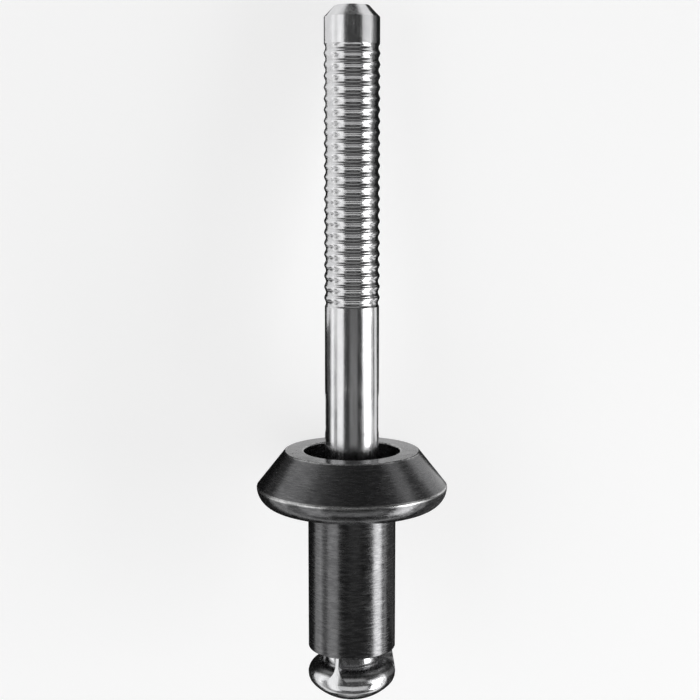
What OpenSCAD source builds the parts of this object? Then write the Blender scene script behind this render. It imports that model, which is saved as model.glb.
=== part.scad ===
// Large-flange structural blind rivet, 1/4 in size, unset: a one-piece flanged sleeve on a one-piece
// pull mandrel. It lies on its flange edge and its stem tip, with the axis along Y and the tip at +Y.
// The profiles are drawn as radius and height in the rivet's own frame, with the top of the flange at 0
// and the stem tip up, and are revolved. rest_pose() then lays both pieces down together.
// The origin is on the plane it rests on, under the middle of its box.

/* [Sleeve shank] */
// Outside diameter of the shank
body_d = 6.4; // [5.6:0.1:7.6]
// Length of the shank, from the flange's underside to its open end
body_len = 10.7; // [6:0.1:20]
// Radial gap between the mandrel and the bore
bore_gap = 0.05; // [0.03:0.01:0.15]
// Fillet between the shank and the flange's underside
root_fillet = 0.2; // [0.1:0.05:0.4]

/* [Sleeve flange] */
// Diameter at the sharp edge, the widest part
flange_d = 13.9; // [12:0.1:18]
// Diameter of the flat ring on top
flange_top_d = 9.8; // [8.6:0.1:11]
// Height of the cone, from the edge to the ring on top
cone_h = 2.6; // [1.5:0.05:4]
// Radius of the round rim below the edge
rim_r = 1.5; // [0.8:0.05:2.2]
// Diameter of the recess round the mandrel
recess_d = 7; // [6:0.1:8]
// Depth of the recess
recess_depth = 2; // [1:0.1:3]
// Radius in the bottom corner of the recess
recess_corner = 0.5; // [0.2:0.05:0.8]
// Radius that breaks the sleeve's edges
edge_r = 0.12; // [0.05:0.01:0.2]

/* [Mandrel stem] */
// Diameter of the plain stem
stem_d = 3.9; // [3:0.05:4.2]
// Length of stem above the flange
stem_len = 31.6; // [27:0.1:45]
// Diameter of the flat on the tip
tip_d = 2.4; // [1.5:0.1:2.8]
// Height of the cone behind the tip
tip_h = 0.8; // [0.5:0.1:2]
// How far the smooth band behind the tip stands out from the plain stem
land_rise = 0.02; // [0:0.01:0.03]

/* [Pull grooves] */
// Number of grooves
groove_n = 24; // [8:1:27]
// Distance from one groove to the next
groove_pitch = 0.78; // [0.7:0.01:0.85]
// Distance from the tip to the first groove's middle
groove_start = 2.9; // [2.5:0.1:5]
// Depth from crest to root
groove_depth = 0.12; // [0.08:0.01:0.16]
// How far the crests stand out from the plain stem, less than the gap in the bore
crest_out = 0.04; // [0:0.01:0.04]
// Radius in the bottom of a groove
groove_r = 0.36; // [0.3:0.01:0.45]
// Radius on a crest
crest_r = 0.25; // [0.2:0.01:0.3]
// Height of the rounded part of a crest
crest_rise = 0.05; // [0.03:0.01:0.06]

/* [Break neck] */
// Distance from the recess floor to the neck, inside the bore
notch_from_floor = 1.2; // [0.8:0.1:1.6]
// Depth of the neck's groove
notch_depth = 0.4; // [0.2:0.05:0.7]
// Width of the neck's groove
notch_w = 0.9; // [0.5:0.1:1.2]

/* [Mandrel head] */
// Diameter of the head's rim
head_d = 6.45; // [6:0.05:7]
// Diameter over the ribs where they meet the sleeve
rib_top_d = 5.9; // [5:0.1:5.9]
// Depth of the scoops below the sleeve's end
scoop_depth = 1.86; // [1.4:0.02:2.4]
// Radius from the neck to the floor of a scoop
scoop_r = 0.7; // [0.5:0.05:0.95]
// Height of the plain band between the scoops and the dome
rim_band = 0.14; // [0.1:0.02:0.6]
// Height of the dome
dome_h = 1.95; // [1.4:0.05:2.6]
// Corner radius where the band runs into the dome
dome_corner = 1; // [0.6:0.05:1.2]
// Number of ribs, each between two scoops
rib_n = 3; // [3:1:4]
// Thickness of a rib at the sleeve
rib_t = 0.22; // [0.2:0.02:0.6]
// Radius that flares a rib into the scoops' floor
rib_flare = 1.3; // [0.5:0.05:1.35]
// Turn of the first rib from the front
rib_turn = -21; // [-60:1:60]

/* [Hidden] */
$fn = 96;

past = 1;
lap = 0.2;
sink = 0.02;
stem_r = stem_d / 2;
bore_r = stem_r + bore_gap;
flange_r = flange_d / 2;
under_z = -cone_h - rim_r;
end_z = under_z - body_len;

// The small round on the flange edge touches the cone and, from inside, the round rim.
edge = [flange_r, -cone_h];
rim_c = [flange_r - rim_r, -cone_h];
cone_slope = atan2(cone_h, flange_r - flange_top_d / 2);
cone_out = [sin(cone_slope), cos(cone_slope)];
cone_up = [-cos(cone_slope), sin(cone_slope)];
edge_lead = rim_r * cos(cone_slope);
edge_back = edge_lead - sqrt(edge_lead * edge_lead - 2 * rim_r * edge_r * (1 - sin(cone_slope)));
edge_c = edge - edge_r * cone_out + edge_back * cone_up;

crest_top = stem_r + crest_out;
wave_r = crest_top - crest_rise;
groove_z = stem_len - groove_start;
groove_span = (groove_n - 1) * groove_pitch;
notch_z = -recess_depth - notch_from_floor;

head_r = head_d / 2;
floor_z = end_z - scoop_depth;
rim_z = floor_z - rim_band;
crown_r = dome_crown(head_r - dome_corner, dome_corner, dome_h);
crown_z = rim_z - dome_h + crown_r;

// Lying pose: the stem dips until the flange edge and the tip's shoulder touch one plane.
tip_shoulder_r = stem_r + land_rise;
tip_shoulder_z = stem_len - tip_h;
rest_run = tip_shoulder_z - edge_c[1];
rest_drop = edge_c[0] - tip_shoulder_r;
dip = atan2(rest_drop, rest_run) + asin(edge_r / norm([rest_run, rest_drop]));
rest_h = tip_shoulder_r * cos(dip) + tip_shoulder_z * sin(dip);
tip_y = tip_d / 2 * sin(dip) + stem_len * cos(dip);
dome_y = crown_z * cos(dip) - crown_r;

// Radius of the crown arc that runs on from a corner of radius c, centred a from the axis.
function dome_crown(a, c, h) = (a * a + (h - c) * (h - c)) / (2 * (h - c)) + c;

// Takes a convex corner off a profile: p is the corner, a and b are points on the edges that meet there.
module round_off(p, a, b, r) {
    u = (a - p) / norm(a - p);
    v = (b - p) / norm(b - p);
    half = acos(u * v) / 2;
    leg = r / tan(half);
    mid = (u + v) / norm(u + v);
    centre = p + mid * r / sin(half);
    difference() {
        polygon([p - mid * r * 0.05, p + u * leg, centre, p + v * leg]);
        translate(centre)
            circle(r = r);
    }
}

// Rounds the square inside corner of a profile at p: sx and sz give the quadrant that is empty.
module fill_in(p, r, sx, sz) {
    translate(p)
        difference() {
            translate([sx * (r - lap) / 2, sz * (r - lap) / 2])
                square(r + lap, center = true);
            translate([sx * r, sz * r])
                circle(r = r);
        }
}

// What the round rim leaves of a square corner, from the edge down to the flat underside.
module below_rim() {
    difference() {
        translate([rim_c[0], under_z - past])
            square(rim_r + past);
        translate(rim_c)
            circle(r = rim_r);
    }
}

// Takes the sharpness off the edge between the cone and the rim.
module off_edge() {
    on_rim = rim_c + (edge_c - rim_c) / norm(edge_c - rim_c) * rim_r;
    difference() {
        polygon([edge + [edge_r, 0], edge_c + edge_r * cone_out, edge_c, on_rim]);
        translate(edge_c)
            circle(r = edge_r);
    }
}

module sleeve_profile() {
    mouth = [recess_d / 2, 0];
    ring = [flange_top_d / 2, 0];
    difference() {
        union() {
            polygon([
                [bore_r, end_z],
                [body_d / 2, end_z],
                [body_d / 2, under_z],
                [flange_r, under_z],
                edge,
                ring,
                mouth,
                [recess_d / 2, -recess_depth],
                [bore_r, -recess_depth]
            ]);
            fill_in([body_d / 2, under_z], root_fillet, 1, -1);
            fill_in([recess_d / 2, -recess_depth], recess_corner, -1, 1);
        }
        round_off(mouth, [recess_d / 2, -recess_depth], ring, edge_r);
        round_off(ring, mouth, edge, edge_r);
        round_off([body_d / 2, end_z], [bore_r, end_z], [body_d / 2, under_z], edge_r);
        below_rim();
        off_edge();
    }
}

module groove_wave() {
    for (i = [0:groove_n - 1])
        translate([crest_top - groove_depth + groove_r, groove_z - i * groove_pitch])
            circle(r = groove_r);
}

module crests() {
    for (i = [0:groove_n - 2])
        translate([crest_top - crest_r, groove_z - (i + 0.5) * groove_pitch])
            circle(r = crest_r);
}

// Outline of the head below the scoops' floor, with the rounds that run up to the neck.
module head_outline() {
    corner = [head_r - dome_corner, rim_z];
    crown = [0, crown_z];
    reach = corner + (corner - crown) / norm(corner - crown) * 2 * dome_corner;
    polygon([
        [0, rim_z],
        [head_r, rim_z],
        [head_r, floor_z],
        [stem_r, floor_z],
        [stem_r, floor_z + scoop_r],
        [0, floor_z + scoop_r]
    ]);
    fill_in([stem_r, floor_z], scoop_r, 1, 1);
    translate(corner)
        circle(r = dome_corner);
    intersection() {
        translate(crown)
            circle(r = crown_r);
        polygon([[0, reach[1] - crown_r], reach, corner, [corner[0], floor_z], [0, floor_z]]);
    }
}

// The part of the head that the ribs may fill: it tapers up to the sleeve's end, where they seat.
module rib_outline() {
    polygon([
        [0, rim_z],
        [head_r, rim_z],
        [head_r, floor_z],
        [rib_top_d / 2, end_z],
        [0, end_z]
    ]);
}

// One rib along +X, flared where it runs into the scoops' floor.
module rib() {
    half = rib_t / 2;
    foot = half + rib_flare;
    rotate([90, 0, 90])
        linear_extrude(head_r + past)
            difference() {
                translate([-foot, floor_z - past])
                    square([2 * foot, scoop_depth + 2 * past]);
                for (s = [-1, 1]) {
                    translate([s * foot, floor_z + rib_flare - sink])
                        circle(r = rib_flare);
                    translate([s > 0 ? half : -foot, floor_z + rib_flare - sink])
                        square([rib_flare, scoop_depth + 2 * past]);
                }
            }
}

module stem_profile() {
    difference() {
        union() {
            polygon([
                [0, floor_z - lap],
                [stem_r, floor_z - lap],
                [stem_r, notch_z - notch_w / 2],
                [stem_r - notch_depth, notch_z],
                [stem_r, notch_z + notch_w / 2],
                [stem_r, groove_z - groove_span],
                [wave_r, groove_z - groove_span],
                [wave_r, groove_z],
                [tip_shoulder_r, groove_z],
                [tip_shoulder_r, tip_shoulder_z],
                [tip_d / 2, stem_len],
                [0, stem_len]
            ]);
            crests();
        }
        groove_wave();
    }
}

// Lays the upright rivet down on its flange edge and its tip, middle of its length at 0, front up.
module rest_pose() {
    translate([0, -(tip_y + dome_y) / 2, rest_h])
        rotate([-90 - dip, 0, 0])
            children();
}

module rivet_body() {
    color("#2a2a2c")
        rest_pose()
            rotate_extrude()
                sleeve_profile();
}

module mandrel() {
    color("#c4c6c8")
        rest_pose()
            union() {
                rotate_extrude() {
                    stem_profile();
                    head_outline();
                }
                for (k = [0:rib_n - 1])
                    intersection() {
                        rotate_extrude()
                            rib_outline();
                        rotate([0, 0, rib_turn - 90 + k * 360 / rib_n])
                            rib();
                    }
            }
}

rivet_body();
mandrel();
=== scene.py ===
"""A structural blind rivet, unset: a black coated flanged sleeve on a bright pull mandrel.

It lies on a pale floor on its flange edge and its stem tip, and the camera looks down on it.
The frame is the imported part's, in metres. Materials work in the rivet's own frame, in millimetres:
z along the axis with the flange top at 0 and the tip up, the front at -y.
"""

import math

import bpy
from mathutils import Matrix, Vector

MM = 0.001

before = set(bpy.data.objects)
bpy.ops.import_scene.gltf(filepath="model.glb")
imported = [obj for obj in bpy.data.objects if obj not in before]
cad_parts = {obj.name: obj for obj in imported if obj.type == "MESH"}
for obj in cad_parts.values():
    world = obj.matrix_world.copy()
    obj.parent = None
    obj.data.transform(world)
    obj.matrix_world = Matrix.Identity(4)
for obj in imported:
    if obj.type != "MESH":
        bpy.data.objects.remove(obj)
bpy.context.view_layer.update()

# How the rivet lies: its own axis dips towards the tip, and the flange top's centre is here.
DIP = math.radians(8.47142)
FLANGE_TOP = Vector((0, -6.42105, 6.48584)) * MM


def lying(x, y, z):
    """A point in the rivet's own frame to the part's frame."""
    s, c = math.sin(DIP), math.cos(DIP)
    return FLANGE_TOP + Vector((x, -y * s + z * c, -y * c - z * s)) * MM


# Camera: the photograph's, found from the circles and the silhouette. Its places are millimetres in the
# rivet's own frame, and its clips are metres.
CAM_DISTANCE = 100.5
CAM_HEIGHT = 21.8
CAM_SIDE = -0.138
CAM_PITCH = math.radians(8.19)
CAM_FOCAL_PX = 1408.07
FRAME_PX = 700
SENSOR = 36.0
CLIP_NEAR, CLIP_FAR = 0.001, 10.0


def add_camera():
    data = bpy.data.cameras.new("camera")
    data.sensor_width = SENSOR
    data.sensor_fit = "HORIZONTAL"
    data.lens = SENSOR * CAM_FOCAL_PX / FRAME_PX
    data.clip_start = CLIP_NEAR
    data.clip_end = CLIP_FAR
    camera = bpy.data.objects.new("camera", data)
    bpy.context.scene.collection.objects.link(camera)
    eye = lying(CAM_SIDE, -CAM_DISTANCE, CAM_HEIGHT)
    target = lying(CAM_SIDE, -CAM_DISTANCE + math.cos(CAM_PITCH), CAM_HEIGHT - math.sin(CAM_PITCH))
    ahead = (target - eye).normalized()
    right = Vector((1, 0, 0))
    up = right.cross(ahead).normalized()
    turn = Matrix((right, up, -ahead)).transposed().to_4x4()
    camera.matrix_world = Matrix.Translation(eye) @ turn
    bpy.context.scene.camera = camera


class Nodes:
    """Short calls for a shader tree; a call that makes a calculation returns its output socket."""

    # The colour sockets of a mix node, by number, because they share their names with its other kinds.
    MIX_FACTOR, MIX_A, MIX_B, MIX_RESULT = 0, 6, 7, 2

    def __init__(self, tree):
        self.tree = tree

    def node(self, kind, **settings):
        node = self.tree.nodes.new(kind)
        for name, value in settings.items():
            setattr(node, name, value)
        return node

    def feed(self, socket, value):
        if isinstance(value, bpy.types.NodeSocket):
            self.tree.links.new(value, socket)
        else:
            socket.default_value = value

    def math(self, operation, a, b=0.0, clamp=False):
        node = self.node("ShaderNodeMath", operation=operation, use_clamp=clamp)
        self.feed(node.inputs[0], a)
        self.feed(node.inputs[1], b)
        return node.outputs[0]

    def times(self, a, b):
        return self.math("MULTIPLY", a, b)

    def length(self, a, b):
        """The long side of a right triangle with these short sides."""
        return self.math("SQRT", self.math("ADD", self.times(a, a), self.times(b, b)))

    def ramp(self, value, low, high, to_low=0.0, to_high=1.0):
        """to_low up to low, to_high from high on, and a soft slope between."""
        node = self.node("ShaderNodeMapRange", interpolation_type="SMOOTHSTEP")
        for socket, item in zip(node.inputs, (value, low, high, to_low, to_high)):
            self.feed(socket, item)
        return node.outputs[0]

    def combine(self, x, y, z):
        node = self.node("ShaderNodeCombineXYZ")
        for socket, item in zip(node.inputs, (x, y, z)):
            self.feed(socket, item)
        return node.outputs[0]

    def noise(self, vector, scale=1.0, detail=3.0, roughness=0.55):
        node = self.node("ShaderNodeTexNoise")
        self.feed(node.inputs["Vector"], vector)
        node.inputs["Scale"].default_value = scale
        node.inputs["Detail"].default_value = detail
        node.inputs["Roughness"].default_value = roughness
        return node.outputs["Fac"]

    def mix(self, factor, a, b):
        node = self.node("ShaderNodeMix", data_type="RGBA")
        self.feed(node.inputs[self.MIX_FACTOR], factor)
        self.feed(node.inputs[self.MIX_A], a)
        self.feed(node.inputs[self.MIX_B], b)
        return node.outputs[self.MIX_RESULT]

    def bump(self, height, strength, distance, normal=None):
        node = self.node("ShaderNodeBump")
        node.inputs["Strength"].default_value = strength
        node.inputs["Distance"].default_value = distance
        self.feed(node.inputs["Height"], height)
        if normal is not None:
            self.feed(node.inputs["Normal"], normal)
        return node.outputs[0]

    def rivet_place(self):
        """x, y, z and the distance from the axis, in the rivet's own frame, in millimetres."""
        where = self.node("ShaderNodeTexCoord").outputs["Object"]
        back = self.node("ShaderNodeMapping", vector_type="TEXTURE")
        back.inputs["Location"].default_value = FLANGE_TOP
        back.inputs["Rotation"].default_value = (-math.pi / 2 - DIP, 0, 0)
        back.inputs["Scale"].default_value = (MM, MM, MM)
        self.feed(back.inputs["Vector"], where)
        part = self.node("ShaderNodeSeparateXYZ")
        self.feed(part.inputs[0], back.outputs[0])
        x, y, z = part.outputs
        return x, y, z, self.length(x, y)

    def near_edge(self, radius, z, at_radius, at_z, core, reach):
        """1 on a turned edge, falling to 0 at the given reach from it."""
        away = self.length(self.math("SUBTRACT", radius, at_radius), self.math("SUBTRACT", z, at_z))
        return self.ramp(away, core, reach, 1.0, 0.0)

    def metal(self, out, metallic, colour, rough, normal):
        bsdf = self.node("ShaderNodeBsdfPrincipled")
        bsdf.inputs["Metallic"].default_value = metallic
        self.feed(bsdf.inputs["Base Color"], colour)
        self.feed(bsdf.inputs["Roughness"], rough)
        self.feed(bsdf.inputs["Normal"], normal)
        self.feed(out.inputs["Surface"], bsdf.outputs[0])


def grey(value, blue=0.0):
    return (value, value, value + blue, 1.0)


def new_material(name):
    material = bpy.data.materials.new(name)
    material.use_nodes = True
    material.node_tree.nodes.clear()
    nodes = Nodes(material.node_tree)
    out = nodes.node("ShaderNodeOutputMaterial")
    return material, nodes, out


# Places on the mandrel that its finish follows, in millimetres.
CREST_R = 1.99
ROOT_R = 1.87
GROOVES_LOW_Z, GROOVES_HIGH_Z = 10.4, 29.2
RIB_R, RIB_Z = 2.95, -14.8
SCOOP_RIM_R, SCOOP_FLOOR_Z = 3.225, -16.66

# Where the grime and painted shade in the groove roots and the painted shade on the scoops' floors fade, in
# millimetres: over this length at both ends of the grooves, and between these distances inward from the
# head's outer line, above the scoops' floor and below it.
GROOVE_FADE = 0.3
SCOOP_SHADE_INWARD = (0.05, 0.16)
SCOOP_SHADE_UP = (0.4, 1.1)
SCOOP_SHADE_DOWN = (-0.08, -0.02)

STEEL_DULL, STEEL_CLEAN = grey(0.69, 0.012), grey(0.77, 0.006)
# Groove roots: grime, with painted shade for the shadow in them.
ROOT_GRIME_AND_SHADE = grey(0.42)
# Near black on the scoops' floors: painted shade. The roughness that goes with it follows.
SCOOP_SHADE = grey(0.07)
SCOOP_SHADE_ROUGH = 0.15
DRAWN_FINE, DRAWN_LONG = 9.0, 0.5
CLOUD_LONG = 0.6
DRAWN_DEPTH = 0.004 * MM
SPECK_DEPTH = 0.012 * MM


def groove_roots(nodes, radius, z):
    """1 in the roots of the ring grooves, and 0 half way up them and off the grooved stretch."""
    low = nodes.ramp(radius, ROOT_R, (ROOT_R + CREST_R) / 2, 1.0, 0.0)
    past_start = nodes.ramp(z, GROOVES_LOW_Z, GROOVES_LOW_Z + GROOVE_FADE)
    before_end = nodes.ramp(z, GROOVES_HIGH_Z - GROOVE_FADE, GROOVES_HIGH_Z, 1.0, 0.0)
    return nodes.times(low, nodes.times(past_start, before_end))


def scoop_floors(nodes, radius, z):
    """1 on the floors of the head's scoops, which lie inside the line from rib to rim, and 0 elsewhere."""
    flare = (SCOOP_RIM_R - RIB_R) / (RIB_Z - SCOOP_FLOOR_Z)
    outer = nodes.math("ADD", nodes.times(nodes.math("SUBTRACT", RIB_Z, z), flare), RIB_R)
    inside = nodes.ramp(nodes.math("SUBTRACT", outer, radius), *SCOOP_SHADE_INWARD)
    height = nodes.math("SUBTRACT", z, SCOOP_FLOOR_Z)
    deep = nodes.times(nodes.ramp(height, *SCOOP_SHADE_UP, 1.0, 0.0), nodes.ramp(height, *SCOOP_SHADE_DOWN))
    return nodes.times(inside, deep)


def steel_material():
    """Bright drawn steel, plated, with grime and painted shade in the groove roots and painted shade on the
    scoops' floors.
    """
    material, nodes, out = new_material("mandrel_steel")
    x, y, z, radius = nodes.rivet_place()
    fine_x, fine_y = nodes.times(x, DRAWN_FINE), nodes.times(y, DRAWN_FINE)
    drawn = nodes.noise(nodes.combine(fine_x, fine_y, nodes.times(z, DRAWN_LONG)), detail=5.0, roughness=0.65)
    cloud = nodes.noise(nodes.combine(x, y, nodes.times(z, CLOUD_LONG)), scale=1.4, detail=4.0)
    specks = nodes.noise(nodes.combine(x, y, z), scale=7.0, detail=3.0, roughness=0.7)

    patchy = nodes.ramp(specks, 0.35, 0.65, to_low=0.1, to_high=0.4)
    # Darkens the groove roots: grime, and painted shade where they would be shadowed.
    root_grime_and_shade = nodes.times(groove_roots(nodes, radius, z), patchy)
    uneven = nodes.ramp(specks, 0.3, 0.6, to_low=0.75, to_high=1.0)
    # Paints the scoops' floors near black: painted shade.
    scoop_shade = nodes.times(scoop_floors(nodes, radius, z), uneven)
    colour = nodes.mix(nodes.ramp(cloud, 0.3, 0.7), STEEL_DULL, STEEL_CLEAN)
    # The groove roots get grime and painted shade, and the scoops' floors get painted shade.
    colour = nodes.mix(root_grime_and_shade, colour, ROOT_GRIME_AND_SHADE)
    colour = nodes.mix(scoop_shade, colour, SCOOP_SHADE)

    rough = nodes.ramp(drawn, 0.3, 0.7, to_low=0.13, to_high=0.23)
    rough = nodes.math("ADD", rough, nodes.ramp(cloud, 0.35, 0.7, to_high=0.05))
    rough = nodes.math("ADD", rough, nodes.times(scoop_shade, SCOOP_SHADE_ROUGH))
    marks = nodes.bump(drawn, 0.16, DRAWN_DEPTH)
    marks = nodes.bump(specks, 0.12, SPECK_DEPTH, marks)
    nodes.metal(out, 1.0, colour, rough, marks)
    return material


# Edges of the sleeve where its coat is worn, in millimetres: the flange's rim, the ring round its top and
# the mouth of the recess, each with the distances where the wear starts to fade and ends.
RIM_R, RIM_Z, RIM_WEAR = 6.92, -2.6, (0.06, 0.16)
RING_R, RING_WEAR = 4.9, (0.04, 0.16)
MOUTH_R, MOUTH_WEAR = 3.5, (0.05, 0.18)
TOP_Z = 0.0

COAT_DARK, COAT_PALE, COAT_CLOUDED = grey(0.1, 0.003), grey(0.2, 0.003), grey(0.11, 0.002)
BARE_METAL = grey(0.6)
COAT_METALLIC = 0.95
STREAK_LONG, STREAK_FINE = 1.5, 9.0
STREAK_DEPTH = 0.01 * MM


def worn_edges(nodes, radius, z, chips):
    """How far the coat is worn through: well along the flange's rim, less on the ring and the mouth."""
    rim = nodes.near_edge(radius, z, RIM_R, RIM_Z, *RIM_WEAR)
    rim = nodes.times(rim, nodes.ramp(chips, 0.3, 0.55, to_low=0.5, to_high=1.0))
    ring = nodes.near_edge(radius, z, RING_R, TOP_Z, *RING_WEAR)
    mouth = nodes.near_edge(radius, z, MOUTH_R, TOP_Z, *MOUTH_WEAR)
    top = nodes.math("MAXIMUM", ring, mouth)
    top = nodes.times(top, nodes.ramp(chips, 0.35, 0.6, to_low=0.15, to_high=0.6))
    return nodes.math("MAXIMUM", rim, top)


def black_material():
    """Satin black coat over turned steel: fine turning streaks, and metal showing through on the edges."""
    material, nodes, out = new_material("sleeve_black")
    x, y, z, radius = nodes.rivet_place()
    # Height less radius changes along the shank, the cone and the flat ring alike, so streaks run round all.
    across = nodes.times(nodes.math("SUBTRACT", z, radius), STREAK_FINE)
    long_x, long_y = nodes.times(x, STREAK_LONG), nodes.times(y, STREAK_LONG)
    streaks = nodes.noise(nodes.combine(long_x, long_y, across), detail=4.0, roughness=0.65)
    cloud = nodes.noise(nodes.combine(x, y, z), scale=0.9, detail=4.0)
    chips = nodes.noise(nodes.combine(x, y, z), scale=3.0, detail=5.0, roughness=0.7)

    colour = nodes.mix(nodes.ramp(streaks, 0.3, 0.7), COAT_DARK, COAT_PALE)
    colour = nodes.mix(nodes.ramp(cloud, 0.35, 0.7, to_high=0.35), colour, COAT_CLOUDED)
    colour = nodes.mix(worn_edges(nodes, radius, z, chips), colour, BARE_METAL)

    rough = nodes.ramp(streaks, 0.3, 0.7, to_low=0.17, to_high=0.26)
    rough = nodes.math("ADD", rough, nodes.ramp(cloud, 0.3, 0.7, to_high=0.05))
    nodes.metal(out, COAT_METALLIC, colour, rough, nodes.bump(streaks, 0.35, STREAK_DEPTH))
    return material


def flat_piece(name, outline, z, material):
    """One level face of staging, in metres."""
    mesh = bpy.data.meshes.new(name)
    mesh.from_pydata([(x, y, z) for x, y in outline], [], [list(range(len(outline)))])
    mesh.materials.append(material)
    piece = bpy.data.objects.new(name, mesh)
    bpy.context.scene.collection.objects.link(piece)
    return piece


FLOOR_COLOUR = 0.9
FLOOR_SEEN_COLOUR = 0.42
FLOOR_GLOW = 0.7
FLOOR_HALF = 1.5


def floor_material():
    """Matt white, lifted to white where a camera, metal or glass sees it; it keeps the rivet's shadow."""
    material, nodes, out = new_material("floor")
    path = nodes.node("ShaderNodeLightPath")
    seen = nodes.math("MAXIMUM", path.outputs["Is Camera Ray"], path.outputs["Is Glossy Ray"])
    seen = nodes.math("MAXIMUM", seen, path.outputs["Is Transmission Ray"])
    matt = nodes.node("ShaderNodeBsdfDiffuse")
    nodes.feed(matt.inputs["Color"], nodes.mix(seen, grey(FLOOR_COLOUR), grey(FLOOR_SEEN_COLOUR)))
    glow = nodes.node("ShaderNodeEmission")
    nodes.feed(glow.inputs["Strength"], nodes.times(seen, FLOOR_GLOW))
    both = nodes.node("ShaderNodeAddShader")
    nodes.feed(both.inputs[0], matt.outputs[0])
    nodes.feed(both.inputs[1], glow.outputs[0])
    nodes.feed(out.inputs["Surface"], both.outputs[0])
    return material


def add_floor():
    half = FLOOR_HALF
    flat_piece("floor", [(-half, -half), (half, -half), (half, half), (-half, half)], 0.0, floor_material())


# Cards just above the floor, for the metal to draw its dark edges from: black ones near, grey ones far.
# Their corners are millimetres: x to the right, y along the rivet and + towards the tip. These are shared.
FLAG_RISE = 0.02 * MM
BLACK_TONE, GREY_TONE = 0.02, 0.22
FLANGE_Y, FOOT_Y = -4.4, -7.4
HEAD_Y, END_Y, BACK_Y = -24, -45, -60
LEFT_X, RIGHT_X, FAR_X = -27, 9, 60
HEAD_HALF = 3.5
LEFT_FLANGE, LEFT_FOOT, LEFT_BODY = (-9.7, FLANGE_Y), (-16.2, FOOT_Y), (LEFT_X, -15)
RIGHT_TIP, RIGHT_STEM = (6.5, 27), (RIGHT_X, 14)
FAR_TURN_Y, FAR_BODY_Y = -20, -27

BLACK_FLAGS = {
    "flag_left_tip": [(-0.8, 25), (-3.2, 25), LEFT_FLANGE, (-2.5, FLANGE_Y)],
    "flag_left_flange": [(-5.4, FLANGE_Y), LEFT_FLANGE, LEFT_FOOT, (-5.4, FOOT_Y)],
    "flag_left_head": [
        (-2.6, FOOT_Y), LEFT_FOOT, LEFT_BODY, (LEFT_X, END_Y), (-HEAD_HALF, END_Y), (-HEAD_HALF, HEAD_Y),
    ],
    "flag_right_tip": [(0.8, 27), (2.5, FLANGE_Y), (RIGHT_X, FLANGE_Y), RIGHT_STEM, RIGHT_TIP],
    "flag_right_flange": [(5.4, FLANGE_Y), (5.4, FOOT_Y), (RIGHT_X, FOOT_Y), (RIGHT_X, FLANGE_Y)],
    "flag_right_head": [
        (2.6, FOOT_Y), (HEAD_HALF, HEAD_Y), (HEAD_HALF, END_Y), (RIGHT_X, END_Y), (RIGHT_X, FOOT_Y),
    ],
    "flag_under": [
        (-HEAD_HALF, END_Y), (HEAD_HALF, END_Y), (HEAD_HALF, HEAD_Y),
        (2.5, -9), (-2.5, -9), (-HEAD_HALF, HEAD_Y),
    ],
    "flag_beyond": [(-12, 35.7), (12, 35.7), (150, 700), (-150, 700)],
    "flag_below": [(LEFT_X, BACK_Y), (RIGHT_X, BACK_Y), (RIGHT_X, END_Y), (LEFT_X, END_Y)],
    "flag_far_head": [(RIGHT_X, BACK_Y), (FAR_X, BACK_Y), (FAR_X, FAR_BODY_Y), (RIGHT_X, FAR_BODY_Y)],
}
GREY_FLAGS = {
    "flag_left_far": [(-8.3, 0.5), (-30, 0.5), (-40, -15), LEFT_BODY, LEFT_FOOT, LEFT_FLANGE],
    "flag_far_tip": [
        (RIGHT_X, 4), (20, 4), (20, -8), (FAR_X, FAR_TURN_Y), (FAR_X, 27), RIGHT_TIP, RIGHT_STEM,
    ],
    "flag_far_body": [
        (RIGHT_X, FAR_BODY_Y), (FAR_X, FAR_BODY_Y), (FAR_X, FAR_TURN_Y), (20, -10), (RIGHT_X, -10),
    ],
}


def add_flags(flags, tone):
    """Cards laid round the rivet, seen only in the metal: they draw its edges dark."""
    material, nodes, out = new_material("flag")
    matt = nodes.node("ShaderNodeBsdfDiffuse")
    matt.inputs["Color"].default_value = grey(tone)
    nodes.feed(out.inputs["Surface"], matt.outputs[0])
    for name, outline in flags.items():
        flag = flat_piece(name, [(x * MM, y * MM) for x, y in outline], FLAG_RISE, material)
        flag.visible_camera = False
        flag.visible_diffuse = False
        flag.visible_shadow = False


# The studio's own light: its level at the horizon, what it gains to the left and loses beyond both ends, the
# height of direction (0 level, 1 overhead) from which only a share of it is left, and its least level.
HORIZON_LEVEL = 0.42
LEFT_LIFT = 0.32
ENDS_FALL = 0.25
DIM_HEIGHT, DIM_SHARE = 0.5, 0.05
LEAST_LEVEL = 0.03


def add_world():
    """A plain studio: pale at the horizon, more so to the left, dim beyond both ends and overhead."""
    world = bpy.data.worlds.new("studio")
    bpy.context.scene.world = world
    world.use_nodes = True
    world.node_tree.nodes.clear()
    nodes = Nodes(world.node_tree)
    out = nodes.node("ShaderNodeOutputWorld")
    back = nodes.node("ShaderNodeBackground")
    part = nodes.node("ShaderNodeSeparateXYZ")
    nodes.feed(part.inputs[0], nodes.node("ShaderNodeTexCoord").outputs["Generated"])
    x, y, z = part.outputs
    level = nodes.math("ADD", HORIZON_LEVEL, nodes.times(x, -LEFT_LIFT))
    level = nodes.math("SUBTRACT", level, nodes.times(nodes.times(y, y), ENDS_FALL), clamp=True)
    level = nodes.times(level, nodes.ramp(z, 0.0, DIM_HEIGHT, 1.0, DIM_SHARE))
    level = nodes.math("ADD", level, LEAST_LEVEL)
    nodes.feed(back.inputs["Strength"], level)
    nodes.feed(out.inputs["Surface"], back.outputs[0])


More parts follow.
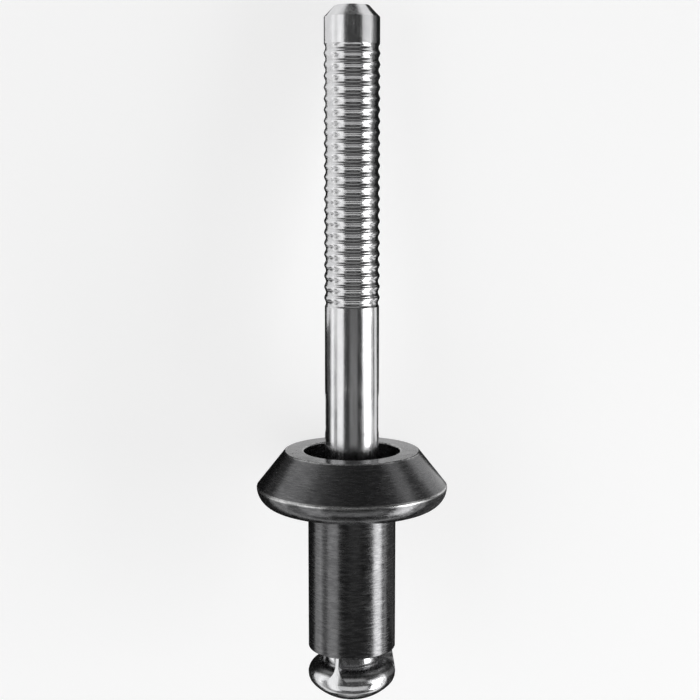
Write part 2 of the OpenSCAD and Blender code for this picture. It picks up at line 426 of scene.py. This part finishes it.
# Lamps: name, middle, span, distance, low, high and radiance, as add_softbox takes them.
LAMPS = (
    ("key_narrow", 69, 24, 0.25, -55, 5, 5.0),
    ("key_wide", 68, 46, 0.28, -4.5, 4, 1.5),
    ("key_body", 76, 20, 0.28, -13, -4.5, 1.5),
    ("key_tip", 66, 44, 0.28, 4, 20, 0.8),
    ("soft_left", -50, 30, 0.3, -60, 30, 1.1),
    ("mid_left", -81, 32, 0.3, -4.5, 30, 0.6),
    ("low_left", -88, 10, 0.28, -35, -4.5, 0.9),
    ("fill_front", 7, 32, 0.4, -8, 4, 0.2),
    ("fill_low", 5, 76, 0.4, -55, -29, 0.62),
    ("fill_high", 5, 76, 0.4, 25, 54, 0.25),
)


def add_softbox(name, middle, span, distance, low, high, radiance):
    """An area light that faces a level line over the floor, through the flange's top and along the rivet.

    middle and span are degrees round that line, from straight up and + to the right. distance is in metres.
    low and high are degrees along it, from the flange's top and + towards the tip. radiance is how bright
    the light looks in a mirror.
    """
    y_low = distance * math.tan(math.radians(low))
    y_high = distance * math.tan(math.radians(high))
    light = bpy.data.lights.new(name, "AREA")
    light.shape = "RECTANGLE"
    light.size = 2 * distance * math.tan(math.radians(span) / 2)
    light.size_y = y_high - y_low
    light.energy = radiance * math.pi * light.size * light.size_y
    lamp = bpy.data.objects.new(name, light)
    bpy.context.scene.collection.objects.link(lamp)
    angle = math.radians(middle)
    out_from = Vector((math.sin(angle), 0, math.cos(angle)))
    along = Vector((0, 1, 0))
    side = along.cross(out_from)
    turn = Matrix((side, along, out_from)).transposed().to_4x4()
    seat = FLANGE_TOP + out_from * distance + along * (y_low + y_high) / 2
    lamp.matrix_world = Matrix.Translation(seat) @ turn


add_camera()
add_world()
add_floor()
add_flags(BLACK_FLAGS, BLACK_TONE)
add_flags(GREY_FLAGS, GREY_TONE)
for lamp_values in LAMPS:
    add_softbox(*lamp_values)

for node, material in (("mandrel", steel_material()), ("rivet_body", black_material())):
    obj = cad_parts[node]
    obj.data.materials.clear()
    obj.data.materials.append(material)

bpy.context.scene.view_settings.view_transform = "Standard"
